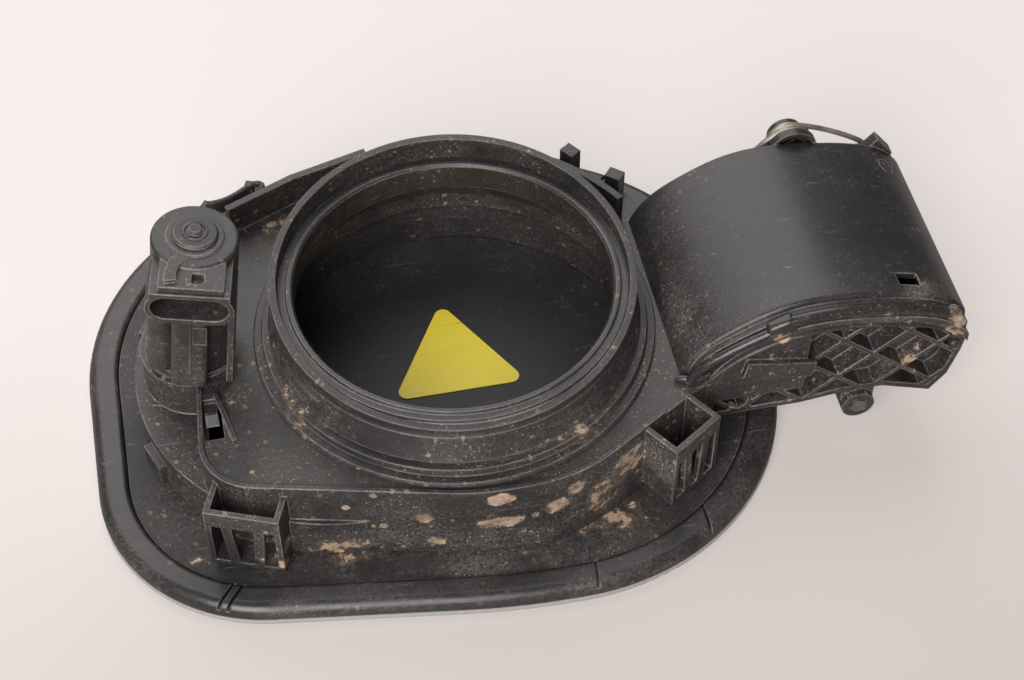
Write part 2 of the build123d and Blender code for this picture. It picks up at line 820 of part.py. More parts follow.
# Flap seal: soft ring under the plate that the disc closes against
with BuildPart() as flap_seal:
    with BuildSketch(Plane.XY.offset(-plate_t)):
        Circle(flap_seal_r + flap_seal_t)
        Circle(flap_seal_r, mode=Mode.SUBTRACT)
    extrude(amount=disc_top_z + gap_soft + plate_t)
save(flap_seal, "flap_seal")

# Hinge pin and its retaining ring
pin_head_out = 1.0        # how far the pin's near end stands out of the wall
pin_tail = 3.0
with BuildPart() as hinge_pin:
    with BuildSketch(Plane.XZ.offset(-pocket_near_y + pin_head_out)):
        with Locations((pin_x, pin_z)):
            Circle(pin_r)
    extrude(amount=-(pocket_far_y + 1.0 + pin_tail - pocket_near_y + pin_head_out))
    chamfer(hinge_pin.faces().sort_by(Axis.Y)[-1].edges(), length=0.5)
save(hinge_pin, "hinge_pin")

ring_wall = 2.0
ring_t = 0.8
ring_gap_w = 1.6
ring_gap_h = 4.0
ring_gap_lift = 3.0
ring_stand_off = 1.0
with BuildPart() as pin_ring:
    with BuildSketch(Plane.XZ.offset(-pocket_far_y - ring_stand_off)):
        with Locations((pin_x, pin_z)):
            Circle(pin_r + ring_wall)
            Circle(pin_r, mode=Mode.SUBTRACT)
        with Locations((pin_x, pin_z + ring_gap_lift)):
            Rectangle(ring_gap_w, ring_gap_h, mode=Mode.SUBTRACT)
    extrude(amount=-ring_t)
save(pin_ring, "pin_ring")

# Toggle spring: wire coil on the cover's boss with two legs, the round wire drawn with eight sides
wire_r = 0.7
coil_r = spring_boss_r + gap_soft + wire_r
coil_y = pocket_far_y + spring_rim_t + gap_soft + wire_r
coil_pitch = 1.3
leg_bend_r = 2.0
low_leg_in = 1.0          # the legs' places are measured from the boss's centre
low_leg_gap = 0.3
low_bend_x = 6.3
low_bend_z = 4.3
low_end_x = 10.9
low_end_z = 2.6
top_leg_in = 2.0
top_leg_gap = 0.2
top_bend_x = 21.1
top_bend_z = 4.6
top_end_x = 12.1
top_end_z = 5.6
with BuildPart() as toggle_spring:
    with BuildSketch(Plane.XY.offset(spring_boss_z)):
        with Locations(
            (spring_boss_x + coil_r, coil_y),
            (spring_boss_x + coil_r, coil_y + coil_pitch),
        ):
            RegularPolygon(wire_r, 8)
    revolve(axis=Axis((spring_boss_x, 0, spring_boss_z), (0, 1, 0)))
    low_leg = (
        (spring_boss_x + low_leg_in, spring_boss_z - coil_r - low_leg_gap),
        (spring_boss_x - low_bend_x, spring_boss_z - low_bend_z),
        (spring_boss_x - low_end_x, spring_boss_z - low_end_z),
    )
    top_leg = (
        (spring_boss_x + top_leg_in, spring_boss_z + coil_r + top_leg_gap),
        (spring_boss_x + top_bend_x, spring_boss_z - top_bend_z),
        (spring_boss_x + top_end_x, spring_boss_z - top_end_z),
    )
    for leg, leg_y in ((low_leg, coil_y), (top_leg, coil_y + coil_pitch)):
        with BuildLine(Plane.XZ.offset(-leg_y)) as leg_path:
            FilletPolyline(*leg, radius=[leg_bend_r])
        with BuildSketch(Plane(leg_path.line @ 0, z_dir=leg_path.line % 0)):
            RegularPolygon(wire_r, 8)
        sweep(path=leg_path.line)
save(toggle_spring, "toggle_spring")

# Lock body: round barrel with the connector socket and its stays, in one moulding
lid_t = 2.0
lid_bottom = lock_top - lid_t
socket_mid = lid_bottom - socket_h / 2
socket_root = 4.0
motor_floor = 29.6
column_x = 7.0            # round column at the left, beside and in front of the axis
column_r = 3.4
strut_w = 8.6             # flat strut under the connector socket
strut_out = 4.4
side_wall_t = 1.5         # thin wall at the right
side_wall_out = 12.5


def socket_plane(reach):
    """Plane across the connector socket, reach in front of the lock's axis."""
    return Plane(
        origin=lock_frame.from_local_coords((0, -reach, socket_mid)),
        x_dir=lock_frame.x_dir,
        z_dir=-lock_frame.y_dir,
    )


with BuildPart() as lock_body:
    with BuildSketch(lock_plane(seat_top)):
        Circle(lock_body_r)
    extrude(amount=lid_bottom - seat_top)
    with BuildSketch(socket_plane(socket_root)):
        SlotOverall(socket_w, socket_h)
        with Locations((0, socket_h / 4)):
            Rectangle(socket_w - 2.0, socket_h / 2)
    extrude(amount=socket_front - socket_root)
    with BuildSketch(lock_plane(seat_top)):
        with Locations((-column_x, -column_x)):
            Circle(column_r)
        with Locations((0, -lock_body_r)):
            RectangleRounded(strut_w, 2 * strut_out, 1.5)
        with Locations((lock_body_r - side_wall_t / 2, -side_wall_out / 2)):
            Rectangle(side_wall_t, side_wall_out)
    extrude(amount=socket_mid - seat_top)
    with BuildSketch(socket_plane(socket_front)):
        SlotOverall(socket_w - 2 * socket_wall, socket_h - 2 * socket_wall)
    extrude(amount=-socket_depth, mode=Mode.SUBTRACT)
    with BuildSketch(lock_plane(seat_top)):
        Circle(lock_bore_r)
    extrude(amount=lock_bore_top - seat_top, mode=Mode.SUBTRACT)
    with BuildSketch(lock_plane(motor_floor)):
        Circle(lock_body_r - 1.8)
    extrude(amount=lid_bottom - motor_floor, mode=Mode.SUBTRACT)
save(lock_body, "lock_body")

# Lock lid and its round vent cap
cap_r = 5.4
tongue_plate_w = 15.0
with BuildPart() as lock_lid:
    with BuildSketch(lock_plane(lid_bottom)):
        Circle(lock_body_r)
    extrude(amount=lid_t)
    fillet(lock_lid.edges().group_by(Axis.Z)[-1], radius=0.8)
    with BuildSketch(lock_plane(lock_top - 0.4)):
        Circle(cap_r + 1.3)
        Circle(cap_r, mode=Mode.SUBTRACT)
    extrude(amount=1.0)
    with BuildSketch(lock_plane(lid_bottom)):
        with Locations((0.2, -lock_body_r - 1.4)):
            Rectangle(tongue_plate_w, 9.0)
    extrude(amount=lid_t - 0.5)
    with BuildSketch(lock_plane(lid_bottom)):
        with Locations((1.6, -12.8)):
            RectangleRounded(2.8, 3.2, 0.6)
    extrude(amount=lid_t, mode=Mode.SUBTRACT)
    with BuildSketch(lock_plane(lock_top - 0.6)):
        with BuildLine():
            Spline((-1.6, -cap_r - 0.6), (-3.8, -8.8), (-4.6, -12.0), (-4.4, -14.6))
        trace(line_width=2.8)
    extrude(amount=1.1)
save(lock_lid, "lock_lid")

with BuildPart() as vent_cap:
    with BuildSketch(lock_plane(lock_top)):
        Circle(cap_r)
    extrude(amount=1.6)
    chamfer(vent_cap.edges().group_by(SortBy.DISTANCE)[-1], length=0.5)
    with BuildSketch(lock_plane(lock_top + 1.6)):
        Circle(1.5)
    extrude(amount=1.2)
save(vent_cap, "vent_cap")

# Contacts of the connector socket
with BuildPart() as connector_pins:
    with BuildSketch(socket_plane(socket_front - socket_depth)):
        with GridLocations(4.4, 1, 3, 1):
            Rectangle(2.0, 0.7)
    extrude(amount=3.2)
save(connector_pins, "connector_pins")

# Motor in the top of the lock
motor_r = 3.0
motor_len = 12.0
with BuildPart() as lock_motor:
    with BuildSketch(Plane(origin=lock_frame.from_local_coords((-motor_len / 2, 0, motor_floor + motor_r)),
                           x_dir=lock_frame.y_dir, z_dir=lock_frame.x_dir)):
        Circle(motor_r)
    extrude(amount=motor_len)
save(lock_motor, "lock_motor")

# Guide bush of the plunger in the foot of the lock body
bush_top = cup_bottom - gap_soft
with BuildPart() as guide_bush:
    with BuildSketch(lock_plane(seat_top)):
        Circle(lock_bore_r)
        Circle(stem_r + gap_run, mode=Mode.SUBTRACT)
    extrude(amount=bush_top - seat_top)
save(guide_bush, "guide_bush")

# Slider cup: carries the plunger up and down in the barrel
cup_floor_top = cup_bottom + cup_floor
with BuildPart() as slider_cup:
    with BuildSketch(lock_plane(cup_bottom)):
        Circle(lock_bore_r - gap_run)
        Circle(stem_r + gap_run, mode=Mode.SUBTRACT)
    extrude(amount=cup_h)
    with BuildSketch(lock_plane(cup_floor_top)):
        Circle(lock_bore_r - gap_run - cup_wall)
    extrude(amount=cup_h - cup_floor, mode=Mode.SUBTRACT)
save(slider_cup, "slider_cup")

# Plunger: stem with the cross head that turns in the catch
flange_r = 3.6
flange_t = 1.8
with BuildPart() as plunger:
    with BuildSketch(lock_plane(head_bottom)):
        with Locations(Location((0, 0), -lock_turn)):
            SlotOverall(head_len, head_w)
    extrude(amount=head_t)
    with BuildSketch(lock_plane(head_bottom + head_t)):
        Circle(stem_r)
    extrude(amount=cup_floor_top + gap_run - head_bottom - head_t)
    with BuildSketch(lock_plane(cup_floor_top + gap_run)):
        Circle(flange_r)
    extrude(amount=flange_t)
save(plunger, "plunger")

# Plunger spring: pushes the plunger out; a coil of square wire
spring_wire = 0.45        # half the wire's width
spring_r = 4.0
spring_turns = 5
spring_low = cup_floor_top + flange_t + gap_soft + spring_wire
spring_high = lock_bore_top - spring_wire - gap_soft
with BuildPart() as plunger_spring:
    with BuildLine() as coil:
        Helix(
            pitch=(spring_high - spring_low) / spring_turns,
            height=spring_high - spring_low,
            radius=spring_r,
            center=lock_plane(spring_low).origin,
            direction=lock_frame.z_dir,
        )
    with BuildSketch(Plane(coil.line @ 0, z_dir=coil.line % 0)):
        Rectangle(2 * spring_wire, 2 * spring_wire)
    sweep(path=coil.line, is_frenet=True)
save(plunger_spring, "plunger_spring")
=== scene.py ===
import bpy
from math import cos, radians, sin
from mathutils import Matrix, Vector


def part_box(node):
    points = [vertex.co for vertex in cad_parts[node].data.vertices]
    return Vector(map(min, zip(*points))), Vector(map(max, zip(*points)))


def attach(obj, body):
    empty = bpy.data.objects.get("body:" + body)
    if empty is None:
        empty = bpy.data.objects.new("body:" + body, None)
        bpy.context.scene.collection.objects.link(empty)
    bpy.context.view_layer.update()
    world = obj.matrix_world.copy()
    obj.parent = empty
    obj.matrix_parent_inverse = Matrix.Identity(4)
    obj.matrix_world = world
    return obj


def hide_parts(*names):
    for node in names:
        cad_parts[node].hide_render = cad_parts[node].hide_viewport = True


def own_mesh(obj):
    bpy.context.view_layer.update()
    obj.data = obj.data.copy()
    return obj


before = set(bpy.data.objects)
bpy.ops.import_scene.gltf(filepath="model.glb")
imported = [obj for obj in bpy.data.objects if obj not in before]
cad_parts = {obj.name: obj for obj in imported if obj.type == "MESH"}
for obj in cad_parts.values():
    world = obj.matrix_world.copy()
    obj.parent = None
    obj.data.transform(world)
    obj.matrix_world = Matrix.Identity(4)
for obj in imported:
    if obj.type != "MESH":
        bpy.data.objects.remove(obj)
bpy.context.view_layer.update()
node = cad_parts
bpy.ops.object.select_all(action="DESELECT")

# Housing
#
# The housing: one moulding of black polypropylene with a plate, a skirt, a ledge, clip boxes,
# hooks and the ribbed hinge pocket. It lives behind the body side, so road dust and dried
# mud cling to it, and its edges are painted pale, partly as rubbed wear, partly as painted highlight.


def socket(group, kind, name, way, value=None):
    """One named input or output of a shader group."""
    made = group.interface.new_socket(name=name, in_out=way, socket_type="NodeSocket" + kind)
    if value is not None:
        made.default_value = value
    return made


def put(tree, kind, **inputs):
    """A node with some of its inputs set: a socket is linked, any other value is stored."""
    made = tree.nodes.new("ShaderNode" + kind)
    for name, value in inputs.items():
        numbered = name[0] == "i" and name[1:].isdigit()
        place = made.inputs[int(name[1:])] if numbered else made.inputs[name.replace("_", " ")]
        if isinstance(value, bpy.types.NodeSocket):
            tree.links.new(value, place)
        else:
            place.default_value = value
    return made


def reckon(tree, way, *values):
    """A Math node's result."""
    made = tree.nodes.new("ShaderNodeMath")
    made.operation = way
    for place, value in zip(made.inputs, values):
        if isinstance(value, bpy.types.NodeSocket):
            tree.links.new(value, place)
        else:
            place.default_value = value
    return made.outputs[0]


def ramp(tree, value, low, high, to_low=0.0, to_high=1.0):
    """Value stretched from low..high to to_low..to_high, clamped."""
    made = put(tree, "MapRange", Value=value, From_Min=low, From_Max=high, To_Min=to_low, To_Max=to_high)
    return made.outputs[0]


def tint(tree, share, under, over):
    """Colour under, covered by colour over as far as share says."""
    made = tree.nodes.new("ShaderNodeMix")
    made.data_type = "RGBA"
    for place, value in ((made.inputs[0], share), (made.inputs[6], under), (made.inputs[7], over)):
        if isinstance(value, bpy.types.NodeSocket):
            tree.links.new(value, place)
        else:
            place.default_value = value
    return made.outputs[2]


# Moulded skin: soft edges, fine grain, and a mask of the edges, for rubbed wear and painted highlight.
moulded = bpy.data.node_groups.new("moulded skin", "ShaderNodeTree")
socket(moulded, "Float", "Grain Scale", "INPUT", 1500.0)
socket(moulded, "Float", "Grain Depth", "INPUT", 0.2)
socket(moulded, "Float", "Edge Radius", "INPUT", 0.0006)
socket(moulded, "Vector", "Normal", "OUTPUT")
socket(moulded, "Float", "Edge", "OUTPUT")
socket(moulded, "Float", "Grain", "OUTPUT")
m_in = moulded.nodes.new("NodeGroupInput")
m_out = moulded.nodes.new("NodeGroupOutput")
m_place = moulded.nodes.new("ShaderNodeTexCoord").outputs["Object"]
m_soft = put(moulded, "Bevel", Radius=m_in.outputs["Edge Radius"])
m_soft.samples = 4
m_face = moulded.nodes.new("ShaderNodeNewGeometry").outputs["Normal"]
m_turn = moulded.nodes.new("ShaderNodeVectorMath")
m_turn.operation = "DOT_PRODUCT"
moulded.links.new(m_soft.outputs[0], m_turn.inputs[0])
moulded.links.new(m_face, m_turn.inputs[1])
m_scale = m_in.outputs["Grain Scale"]
m_grain = put(moulded, "TexNoise", Vector=m_place, Scale=m_scale, Detail=3.0, Roughness=0.6)
m_wave = put(moulded, "TexNoise", Vector=m_place, Scale=60.0, Detail=3.0)
# The edge mask marks where edges are painted pale: partly rubbed wear, partly painted highlight.
m_rubbed_and_glint = ramp(moulded, m_turn.outputs["Value"], 0.975, 0.90)
m_rubbed_and_glint = reckon(moulded, "MULTIPLY", m_rubbed_and_glint, ramp(moulded, m_grain.outputs[0], 0.30, 0.55, 0.35, 1.0))
m_rubbed_and_glint = reckon(moulded, "MULTIPLY", m_rubbed_and_glint, ramp(moulded, m_wave.outputs[0], 0.36, 0.58, 0.25, 1.0))
m_height = reckon(moulded, "MULTIPLY_ADD", m_wave.outputs[0], 2.0, m_grain.outputs[0])
m_bump = put(moulded, "Bump", Strength=m_in.outputs["Grain Depth"], Distance=0.0002, Height=m_height,
             Normal=m_soft.outputs[0])
moulded.links.new(m_bump.outputs[0], m_out.inputs["Normal"])
moulded.links.new(m_rubbed_and_glint, m_out.inputs["Edge"])
moulded.links.new(m_grain.outputs[0], m_out.inputs["Grain"])

# Road dust: a clouded film with wiped streaks along the place's X, pale specks and hair-thin scratches.
dusty = bpy.data.node_groups.new("road dust", "ShaderNodeTree")
socket(dusty, "Vector", "Place", "INPUT")
socket(dusty, "Float", "Film", "INPUT", 0.4)
socket(dusty, "Float", "Specks", "INPUT", 0.4)
socket(dusty, "Float", "Dust", "OUTPUT")
socket(dusty, "Float", "Speck", "OUTPUT")
socket(dusty, "Float", "Scratch", "OUTPUT")
d_in = dusty.nodes.new("NodeGroupInput")
d_out = dusty.nodes.new("NodeGroupOutput")
d_place = d_in.outputs["Place"]
d_cloud = put(dusty, "TexNoise", Vector=d_place, Scale=52.0, Detail=6.0, Roughness=0.68)
d_long = put(dusty, "Mapping", Vector=d_place)
d_long.inputs["Rotation"].default_value = (0.05, 0.04, 0.06)
d_long.inputs["Scale"].default_value = (1.0, 16.0, 16.0)
d_lines = put(dusty, "TexNoise", Vector=d_long.outputs[0], Scale=55.0, Detail=4.0, Roughness=0.7)
d_fine = put(dusty, "TexNoise", Vector=d_place, Scale=1500.0, Detail=2.0, Roughness=0.7)
d_film = ramp(dusty, d_cloud.outputs[0], 0.36, 0.68, 0.12, 1.1)
d_film = reckon(dusty, "MULTIPLY", d_film, ramp(dusty, d_lines.outputs[0], 0.36, 0.64, 0.75, 1.2))
d_film = reckon(dusty, "MULTIPLY", d_film, ramp(dusty, d_fine.outputs[0], 0.35, 0.65, 0.25, 1.8))
d_film = reckon(dusty, "MULTIPLY", d_film, d_in.outputs["Film"])
d_shift = reckon(dusty, "MULTIPLY", reckon(dusty, "SUBTRACT", d_fine.outputs[0], 0.5), 0.9)
d_dot = None
for d_scale, d_share in ((600.0, 0.80), (1600.0, 0.55)):
    d_cells = put(dusty, "TexVoronoi", Vector=d_place, Scale=d_scale, Randomness=1.0)
    d_size = put(dusty, "SeparateColor", Color=d_cells.outputs["Color"])
    d_reach = reckon(dusty, "MULTIPLY", ramp(dusty, d_size.outputs[0], d_share, 1.0), 0.40)
    d_edge = reckon(dusty, "ADD", d_cells.outputs["Distance"], d_shift)
    d_more = reckon(dusty, "LESS_THAN", d_edge, d_reach)
    d_dot = d_more if d_dot is None else reckon(dusty, "MAXIMUM", d_dot, d_more)
d_dot = reckon(dusty, "MULTIPLY", d_dot, ramp(dusty, d_cloud.outputs[0], 0.40, 0.56))
d_dot = reckon(dusty, "MULTIPLY", d_dot, d_in.outputs["Specks"])
d_line = ramp(dusty, d_lines.outputs[0], 0.64, 0.70)
for value, name in ((d_film, "Dust"), (d_dot, "Speck"), (d_line, "Scratch")):
    dusty.links.new(value, d_out.inputs[name])

# Splash: how near a point is to a place, in an egg-shaped reach about it.
splash = bpy.data.node_groups.new("splash reach", "ShaderNodeTree")
socket(splash, "Vector", "Middle", "INPUT", (0.0, 0.0, 0.0))
socket(splash, "Vector", "Reach", "INPUT", (0.01, 0.01, 0.01))
socket(splash, "Float", "Near", "OUTPUT")
s_in = splash.nodes.new("NodeGroupInput")
s_out = splash.nodes.new("NodeGroupOutput")
s_place = splash.nodes.new("ShaderNodeTexCoord").outputs["Object"]
s_off = put(splash, "VectorMath", i0=s_place, i1=s_in.outputs["Middle"])
s_off.operation = "SUBTRACT"
s_egg = put(splash, "VectorMath", i0=s_off.outputs[0], i1=s_in.outputs["Reach"])
s_egg.operation = "DIVIDE"
s_far = put(splash, "VectorMath", i0=s_egg.outputs[0])
s_far.operation = "LENGTH"
splash.links.new(ramp(splash, s_far.outputs["Value"], 1.0, 0.3), s_out.inputs["Near"])

# Dried mud: ragged crusts where Thick is high, and round drops with a paler rim where Drops is.
muddy = bpy.data.node_groups.new("dried mud", "ShaderNodeTree")
socket(muddy, "Float", "Thick", "INPUT", 0.0)
socket(muddy, "Float", "Drops", "INPUT", 0.0)
socket(muddy, "Float", "Drop Scale", "INPUT", 170.0)
socket(muddy, "Float", "Mud", "OUTPUT")
socket(muddy, "Color", "Colour", "OUTPUT")
t_in = muddy.nodes.new("NodeGroupInput")
t_out = muddy.nodes.new("NodeGroupOutput")
t_place = muddy.nodes.new("ShaderNodeTexCoord").outputs["Object"]
t_crust = put(muddy, "TexNoise", Vector=t_place, Scale=260.0, Detail=7.0, Roughness=0.70)
t_level = reckon(muddy, "MULTIPLY_ADD", t_in.outputs["Thick"], -0.32, 0.74)
t_over = reckon(muddy, "SUBTRACT", t_crust.outputs[0], t_level)
t_thick = t_in.outputs["Thick"]
t_body = reckon(muddy, "MULTIPLY", ramp(muddy, t_over, 0.0, 0.035), ramp(muddy, t_thick, 0.0, 0.15))
t_stain = ramp(muddy, t_thick, 0.2, 1.0, 0.0, 0.5)
t_stain = reckon(muddy, "MULTIPLY", t_stain, ramp(muddy, t_over, -0.12, 0.02))
t_body = reckon(muddy, "MAXIMUM", t_body, t_stain)
t_cells = put(muddy, "TexVoronoi", Vector=t_place, Scale=t_in.outputs["Drop Scale"], Randomness=1.0)
t_cell = put(muddy, "SeparateColor", Color=t_cells.outputs["Color"])
t_rag = reckon(muddy, "SUBTRACT", t_crust.outputs[0], 0.5)
t_edge = reckon(muddy, "MULTIPLY_ADD", t_rag, 0.35, t_cells.outputs["Distance"])
t_size = ramp(muddy, reckon(muddy, "ADD", t_cell.outputs[0], t_in.outputs["Drops"]), 1.05, 1.9, 0.0, 0.42)
t_drop = ramp(muddy, reckon(muddy, "SUBTRACT", t_size, t_edge), 0.0, 0.03)
t_ring = ramp(muddy, reckon(muddy, "SUBTRACT", t_size, t_edge), 0.14, 0.04)
t_drop = reckon(muddy, "MULTIPLY", t_drop, reckon(muddy, "MULTIPLY_ADD", t_ring, 0.45, 0.55))
t_mud = reckon(muddy, "MAXIMUM", t_body, t_drop)
t_tone = ramp(muddy, t_crust.outputs[0], 0.42, 0.66)
muddy.links.new(t_mud, t_out.inputs["Mud"])
mud_damp = (0.20, 0.135, 0.092, 1)
mud_dry = (0.50, 0.365, 0.265, 1)
muddy.links.new(tint(muddy, t_tone, mud_damp, mud_dry), t_out.inputs["Colour"])


dust_shade = (0.155, 0.137, 0.132, 1)
scratch_shade = (0.36, 0.33, 0.31, 1)
rubbed_and_highlight_shade = (0.44, 0.41, 0.40, 1)
speck_shade = (0.42, 0.32, 0.24, 1)
arc_radius = 0.045  # m; radius at which streaks round the inlet keep their length


def splashes(tree, places):
    """The strongest of several splash reaches, each a middle (mm), a reach (mm) and a strength."""
    most = None
    for middle, reach, strength in places:
        near = tree.nodes.new("ShaderNodeGroup")
        near.node_tree = splash
        near.inputs["Middle"].default_value = [c / 1000 for c in middle]
        near.inputs["Reach"].default_value = [c / 1000 for c in reach]
        share = reckon(tree, "MULTIPLY", near.outputs["Near"], strength)
        most = share if most is None else reckon(tree, "MAXIMUM", most, share)
    return most


def soiled(name, shade, gloss, grain=(1500.0, 0.2), edge_wear_and_glint=0.5, film=0.5, specks=0.6,
           crusts=(), drops=(), veils=(), wiped=(), around=False):
    """Black moulding: grain (scale, depth), pale edges (rubbed wear and painted highlight), dust film,
    specks, and mud crusts and drops.

    crusts, drops, veils (dustier places) and wiped (cleaner places) are rows for splashes; around
    turns the dust's streaks round the inlet's axis.
    """
    finish = bpy.data.materials.new(name)
    finish.use_nodes = True
    tree = finish.node_tree
    shader = tree.nodes["Principled BSDF"]
    skin = tree.nodes.new("ShaderNodeGroup")
    skin.node_tree = moulded
    skin.inputs["Grain Scale"].default_value = grain[0]
    skin.inputs["Grain Depth"].default_value = grain[1]
    place = tree.nodes.new("ShaderNodeTexCoord").outputs["Object"]
    if around:
        parts = put(tree, "SeparateXYZ", Vector=place)
        flat = put(tree, "CombineXYZ", X=parts.outputs[0], Y=parts.outputs[1]).outputs[0]
        length = put(tree, "VectorMath", i0=flat)
        length.operation = "LENGTH"
        angle = reckon(tree, "ARCTAN2", parts.outputs[1], parts.outputs[0])
        arc = reckon(tree, "MULTIPLY", angle, arc_radius)
        place = put(tree, "CombineXYZ", X=arc, Y=length.outputs["Value"], Z=parts.outputs[2]).outputs[0]
    dust = tree.nodes.new("ShaderNodeGroup")
    dust.node_tree = dusty
    tree.links.new(place, dust.inputs["Place"])
    dust.inputs["Specks"].default_value = specks
    dust.inputs["Film"].default_value = film
    if veils:
        veil = splashes(tree, veils)
        tree.links.new(reckon(tree, "ADD", veil, film), dust.inputs["Film"])
        tree.links.new(reckon(tree, "MULTIPLY_ADD", veil, 0.6, specks), dust.inputs["Specks"])
    dusted = dust.outputs["Dust"]
    specked = dust.outputs["Speck"]
    if wiped:
        left = reckon(tree, "MAXIMUM", reckon(tree, "SUBTRACT", 1.0, splashes(tree, wiped)), 0.0)
        dusted = reckon(tree, "MULTIPLY", dusted, left)
        specked = reckon(tree, "MULTIPLY", specked, left)
    dark = (*[c * 0.65 for c in shade], 1)
    light = (*[c * 1.1 for c in shade], 1)
    colour = tint(tree, ramp(tree, skin.outputs["Grain"], 0.3, 0.7), dark, light)
    colour = tint(tree, reckon(tree, "MULTIPLY", dusted, 0.46), colour, dust_shade)
    colour = tint(tree, reckon(tree, "MULTIPLY", dust.outputs["Scratch"], 0.2), colour, scratch_shade)
    # Painted highlight and wear: the pale shade on the edges stands for rubbed wear and for the glint on
    # rounded edges.
    colour = tint(tree, reckon(tree, "MULTIPLY", skin.outputs["Edge"], edge_wear_and_glint), colour, rubbed_and_highlight_shade)
    rough = reckon(tree, "MULTIPLY_ADD", dusted, 0.32, gloss)
    colour = tint(tree, specked, colour, speck_shade)
    relief = specked
    if crusts or drops:
        mud = tree.nodes.new("ShaderNodeGroup")
        mud.node_tree = muddy
        if crusts:
            tree.links.new(splashes(tree, crusts), mud.inputs["Thick"])
        if drops:
            tree.links.new(splashes(tree, drops), mud.inputs["Drops"])
        colour = tint(tree, mud.outputs["Mud"], colour, mud.outputs["Colour"])
        rough = reckon(tree, "MAXIMUM", rough, reckon(tree, "MULTIPLY", mud.outputs["Mud"], 0.9))
        relief = reckon(tree, "MAXIMUM", relief, mud.outputs["Mud"])
    crust = put(tree, "Bump", Strength=0.8, Distance=0.0004, Height=relief, Normal=skin.outputs["Normal"])
    tree.links.new(colour, shader.inputs["Base Color"])
    tree.links.new(rough, shader.inputs["Roughness"])
    tree.links.new(crust.outputs[0], shader.inputs["Normal"])
    return finish


def dress(piece, finish):
    """Gives a CAD node its finish in every slot."""
    mesh = node[piece].data
    mesh.materials.clear()
    mesh.materials.append(finish)


housing_black = soiled(
    "housing plastic", (0.020, 0.0185, 0.0183), 0.34, film=0.55, specks=0.55, edge_wear_and_glint=0.75,
    crusts=(
        ((1, -51.8, -11.6), (8.5, 4, 3.2), 1.40),
        ((15, -51.8, -9.0), (5, 4, 4), 1.25),
        ((20, -51.0, -5.0), (6, 5, 4), 1.20),
        ((27, -47.5, -13), (9, 8, 10), 0.95),
        ((34, -43.5, -8), (8, 8, 9), 0.98),
        ((46, -43, -10), (10, 8, 10), 0.95),
        ((-28, -45.9, -0.8), (1.6, 3, 1.5), 1.60),
        ((-16.7, -48.7, -9.1), (3.4, 4, 2.9), 1.60),
        ((1.3, -51.8, -2.8), (5.4, 4, 3.2), 1.50),
        ((-14.2, -49.3, -18.4), (3.2, 4, 2.6), 1.60),
        ((-25.9, -46.4, -12.8), (1.7, 3, 1.6), 1.60),
        ((-34.2, -44.4, -5.9), (1.4, 3, 1.3), 1.60),
        ((-36, -44, -20), (14, 8, 4), 1.05),
        ((-51, -46, -17), (8, 8, 7), 0.95),
        ((106, -28, -6), (16, 5, 10), 0.62),
        ((-36, 40, 0), (14, 12, 3), 0.75),
    ),
    drops=(
        ((-6, -50, -12), (52, 8, 14), 0.95),
        ((66, -29, -10), (30, 6, 8), 0.75),
        ((-52, -34, 0), (26, 16, 3), 0.60),
    ),
    veils=(
        ((33, -44, -10), (18, 14, 14), 0.90),
        ((-44, -30, 0), (28, 28, 4), 0.35),
        ((0, -48, -18), (60, 10, 6), 0.45),
    ),
)
dress("housing", housing_black)

# Rear strip and ledge line
#
# The strip stands bent between the rear hooks, and the line is a raised witness line on the
# ledge. Both are part of the housing's black moulding.


def strand(name, points, thick, finish, deep=0.0):
    """Smooth rod along the route's points (mm), or a low upright strip with round edges where deep."""
    bpy.ops.curve.primitive_nurbs_path_add(location=(0, 0, 0))
    made = bpy.context.active_object
    made.name = name
    made.data.splines.clear()
    line = made.data.splines.new("NURBS")
    line.points.add(len(points) - 1)
    for place, point in zip(line.points, points):
        place.co = (*[c / 1000 for c in point], 1)
    line.use_endpoint_u = True
    line.order_u = 3
    made.data.resolution_u = 6
    made.data.twist_mode = "Z_UP"
    made.data.extrude = deep / 1000
    made.data.bevel_depth = thick / 1000
    made.data.bevel_resolution = 3
    made.data.use_fill_caps = True
    bpy.ops.object.convert(target="MESH")
    bpy.ops.object.mode_set(mode="EDIT")
    bpy.ops.mesh.select_all(action="SELECT")
    bpy.ops.mesh.remove_doubles(threshold=0.00001)
    bpy.ops.mesh.normals_make_consistent(inside=False)
    bpy.ops.object.mode_set(mode="OBJECT")
    bpy.ops.object.shade_smooth_by_angle(angle=radians(50))
    made.data.materials.append(finish)
    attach(made, "housing")
    return made


strand("rear_strip", ((-55.6, 47.2, 5.0), (-52.5, 47.0, 5.0), (-48.5, 48.2, 5.2), (-44.6, 50.6, 5.4),
                      (-41.8, 51.6, 5.6), (-40.4, 50.4, 5.6), (-41.0, 48.8, 5.6), (-42.6, 48.8, 5.6)),
       0.7, housing_black, deep=1.6)
strand("ledge_line", ((-75.6, -1.0, -10.9), (-73.0, -1.6, -10.8), (-70.0, -2.2, -10.8), (-67.4, -2.8, -10.9)),
       0.35, housing_black)

# Pocket cover
#
# The arched cover snaps over the hinge pocket. Black polypropylene, its top polished by
# handling, with mud packed in its stepped flange.

